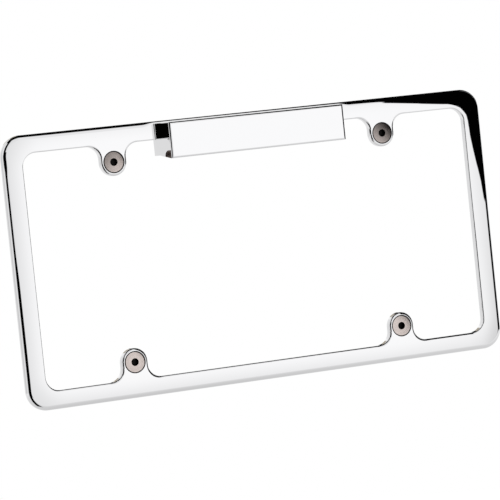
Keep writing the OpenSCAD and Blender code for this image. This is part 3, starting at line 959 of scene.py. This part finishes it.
# each screw's side and height, the angle of its hex, and its painted dark reflection: angle,
# strength at both ends
for place, sx, sz, angle, dark_reflection_paint in (("top_left", -1, 1, 8, (-50, 0.38, 0.92)),
                                    ("top_right", 1, 1, 25, (235, 0.12, 0.68)),
                                    ("bottom_left", -1, -1, 14, (0, 1.0, 1.0)),
                                    ("bottom_right", 1, -1, 3, (0, 1.0, 1.0))):
    cx, cz = sx * BOLT_X, sz * BOLT_Z
    head = turned_steel_and_shade(cx, cz, "head_steel_and_shade_" + place, *dark_reflection_paint)
    build_plate_screw("plate_screw_" + place, cx, cz, angle, [head, socket_shade, threads])

steel, black = small_steel(), rubber()
for node in ("lens_screw_left", "lens_screw_right", "board_screw_left", "board_screw_right"):
    dress(node, steel)
dress("lamp_lens", clear_lens())
dress("lens_gasket", black)
dress("wire_grommet", black)
dress("lamp_board", circuit_board())
brass = tinned_brass()
dress("lamp_terminal_pos", brass)
dress("lamp_terminal_neg", brass)
for k in range(1, 7):
    low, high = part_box("lamp_led_%d" % k)
    dress("lamp_led_%d" % k, diode((low.x + high.x) / 2, (low.y + high.y) / 2, "diode_%d" % k))


# The room, as polished metal shows it: values by the direction of a mirrored ray. Azimuth is 0
# in front and grows to the right, elevation grows upwards; both are in degrees.
BLACK, FLOOR_TONES = 0.0005, (0.62, 0.84)
FLOOR_Z = -0.30


def card(g, az, el):
    """Pale card in front, with the brighter patch of the lamp behind it."""
    patch = g.mul(g.ramp(az, 14.5, 19.0), g.ramp(az, 24.5, 31.0, 1, 0),
                  g.ramp(el, -8.8, -4.6), g.ramp(el, 0.0, 5.2, 1, 0))
    upper = g.mul(g.ramp(az, 14.5, 16.5), g.ramp(el, 2.5, 4.5))
    corner = g.mul(g.ramp(az, 27.2, 29.2), g.ramp(el, -6.0, -1.5, 1, 0))
    return g.sub(g.add(0.81, g.mul(upper, 0.055), g.mul(patch, 0.23)), g.mul(corner, 0.11))


def flags(g, az, el):
    """Dark flags on the right; the upper one's edge bends with the elevation."""
    high = g.add(25.14, g.mul(el, el, 0.0040))
    bends = ((-2.26, 28.8), (-1.77, 28.5), (-1.14, 27.75), (-0.84, 27.45), (-0.61, 27.37),
             (-0.05, 27.48), (0.36, 27.2), (0.57, 26.35), (1.64, 25.14))
    edge = bends[-1][1]
    for (e0, a0), (e1, a1) in zip(bends, bends[1:]):
        edge = g.add(edge, g.ramp(el, e0, e1, a0 - a1, 0, False))
    edge = g.most(edge, g.mul(high, g.ramp(el, -0.01, 0.01)))
    low = g.ramp(az, 29.0, 67.0, -2.15, -2.7, False)
    upper = g.mul(g.ramp(g.sub(az, edge), -0.05, 0.05), g.ramp(g.sub(el, low), -0.05, 0.05),
                  g.ramp(az, 66.5, 67.5, 1, 0))
    side = g.mul(g.ramp(az, 33, 38), g.ramp(az, 98, 104, 1, 0), g.ramp(el, -12, -9))
    return g.most(upper, side)


def stand(g, az, el):
    """The camera and its stand, wider above and below."""
    left = g.add(g.ramp(el, -0.5, -0.1, -59.0, -68.0), g.ramp(el, 8.0, 16.0, 0.0, 6.0))
    right = g.add(g.ramp(el, -3.0, -2.1, 3.0, -14.0), g.ramp(el, -0.9, 0.1, 0.0, 17.0),
                  g.ramp(el, 5.0, 14.0, 0.0, -20.0))
    return g.mul(g.ramp(g.sub(az, left), -0.5, 0.5), g.ramp(g.sub(az, right), -0.5, 0.5, 1, 0))


def room():
    world = bpy.data.worlds.new("room")
    scene.world = world
    world.use_nodes = True
    g = Graph(world.node_tree)
    x, y, z = g.xyz("Generated")
    el = g.degrees("ARCSINE", z)
    az = g.degrees("ARCTAN2", x, g.mul(y, -1.0))

    # behind the object: a dark hall to the right, a dark ceiling, a brown wall in the middle
    behind = g.most(g.ramp(az, 100, 108), g.ramp(az, -168, -164, 1, 0))
    far_right = g.mul(g.ramp(az, 100, 108), g.ramp(az, 163, 167, 1, 0))
    hall = g.most(g.mul(far_right, g.ramp(el, 5, 12)), g.mul(behind, g.ramp(el, 50, 54)))
    brown = g.mul(g.most(g.ramp(az, 163, 167), g.ramp(az, -178, -174, 1, 0)), g.ramp(el, 14, 17))
    dark = g.most(flags(g, az, el), g.ramp(el, 57, 60), hall)
    # a pale wall to the left
    left = g.mul(g.ramp(az, -168, -164), g.ramp(az, -65, -64, 1, 0))
    wall = g.add(g.ramp(el, -17, 30, 0.64, 0.72), g.ramp(az, -131, -127, 0.11, -0.06),
                 g.ramp(az, -106, -97, 0.0, 0.18))
    value = g.blend(left, card(g, az, el), wall)
    value = g.blend(behind, value, 0.95)
    value = g.blend(brown, value, 0.42)
    value = g.blend(dark, value, BLACK)
    # grey floor to the horizon, and the stand in front of everything
    value = g.blend(g.ramp(el, -13, -8.5, 1, 0), value, g.ramp(el, -60, -10, *FLOOR_TONES))
    value = g.blend(stand(g, az, el), value, BLACK)

    # the camera and rays through the lens see plain white, matt surfaces a soft light
    path = g.node("ShaderNodeLightPath")
    seen = g.blend(path.outputs["Is Glossy Ray"], 0.9, value)
    seen = g.blend(path.outputs["Is Transmission Ray"], seen, 1.0)
    seen = g.blend(path.outputs["Is Camera Ray"], seen, 1.0)
    shader = world.node_tree.nodes["Background"].inputs
    g.wire(seen, shader["Strength"])
    tint = g.mul(brown, path.outputs["Is Glossy Ray"])
    g.wire(g.mix(tint, (1, 1, 1, 1), (1, 0.90, 0.74, 1)), shader["Color"])


def floor():
    bm = bmesh.new()
    bmesh.ops.create_circle(bm, cap_ends=True, radius=1.0, segments=96,
                            matrix=Matrix.Translation((0, 0, FLOOR_Z)))
    mesh = bpy.data.meshes.new("floor")
    bm.to_mesh(mesh)
    bm.free()
    obj = bpy.data.objects.new("floor", mesh)
    scene.collection.objects.link(obj)
    m, g, i = material("floor", Roughness=0.9, Specular_IOR_Level=0.0)
    i["Base Color"].default_value = (0.8, 0.8, 0.8, 1)
    x, y, _ = g.xyz()
    r = g.radius(x, y)
    # in the metal: a painted glow, grey and darker towards the middle as painted shade, with the
    # painted shadow of the stand between the object and the camera
    turn = g.degrees("ARCTAN2", g.add(x, 0.1), g.mul(y, -1.0))
    painted_stand_shadow = g.mul(g.ramp(turn, -62.0, -58.0), g.ramp(turn, -12.0, -8.0, 1, 0),
                 g.ramp(r, 0.22, 0.26))
    mirrored = g.node("ShaderNodeEmission")
    g.wire(g.blend(painted_stand_shadow, g.ramp(r, 0.0, 1.0, *FLOOR_TONES, False), BLACK),
           mirrored.inputs["Strength"])
    # for the camera: white, with the shadow kept
    glow = g.node("ShaderNodeEmission")
    glow.inputs["Strength"].default_value = 0.25
    seen = g.node("ShaderNodeAddShader")
    shader = m.node_tree.nodes["Principled BSDF"].outputs[0]
    g.wire(shader, seen.inputs[0])
    g.wire(glow.outputs[0], seen.inputs[1])
    path = g.node("ShaderNodeLightPath")
    for which, other in (("Is Camera Ray", seen), ("Is Glossy Ray", mirrored)):
        mix = g.node("ShaderNodeMixShader")
        g.wire(path.outputs[which], mix.inputs[0])
        g.wire(shader, mix.inputs[1])
        g.wire(other.outputs[0], mix.inputs[2])
        shader = mix.outputs[0]
    g.wire(shader, m.node_tree.nodes["Material Output"].inputs[0])
    mesh.materials.append(m)


room()
floor()

# A soft lamp above, for the floor's shadow and the matt pieces.
lamp = bpy.data.lights.new("soft_top", "AREA")
lamp.shape = "DISK"
lamp.size = 1.6
lamp.energy = 12
lamp_obj = bpy.data.objects.new("soft_top", lamp)
lamp_obj.location = (-0.5, -1.0, 1.6)
lamp_obj.rotation_euler = (-lamp_obj.location).to_track_quat("-Z", "Y").to_euler()
lamp_obj.visible_glossy = False
scene.collection.objects.link(lamp_obj)

# The camera, fitted to the photograph through the screws' centres
azimuth, elevation, roll = (math.radians(a) for a in (22.2085, 2.6682, 5.938))
forward = Vector((math.sin(azimuth) * math.cos(elevation), math.cos(azimuth) * math.cos(elevation),
                  -math.sin(elevation)))
right0 = Vector((math.cos(azimuth), -math.sin(azimuth), 0))
up0 = right0.cross(forward)
right = right0 * math.cos(roll) - up0 * math.sin(roll)
up = right0 * math.sin(roll) + up0 * math.cos(roll)
data = bpy.data.cameras.new("camera")
data.sensor_width = 36
data.lens = 207.48
data.clip_end = 20
cam = bpy.data.objects.new("camera", data)
cam.matrix_world = Matrix((
    (right.x, up.x, -forward.x, -0.67067),
    (right.y, up.y, -forward.y, -1.62878),
    (right.z, up.z, -forward.z, 0.079855),
    (0, 0, 0, 1)))
scene.collection.objects.link(cam)
scene.camera = cam
scene.view_settings.view_transform = "Standard"
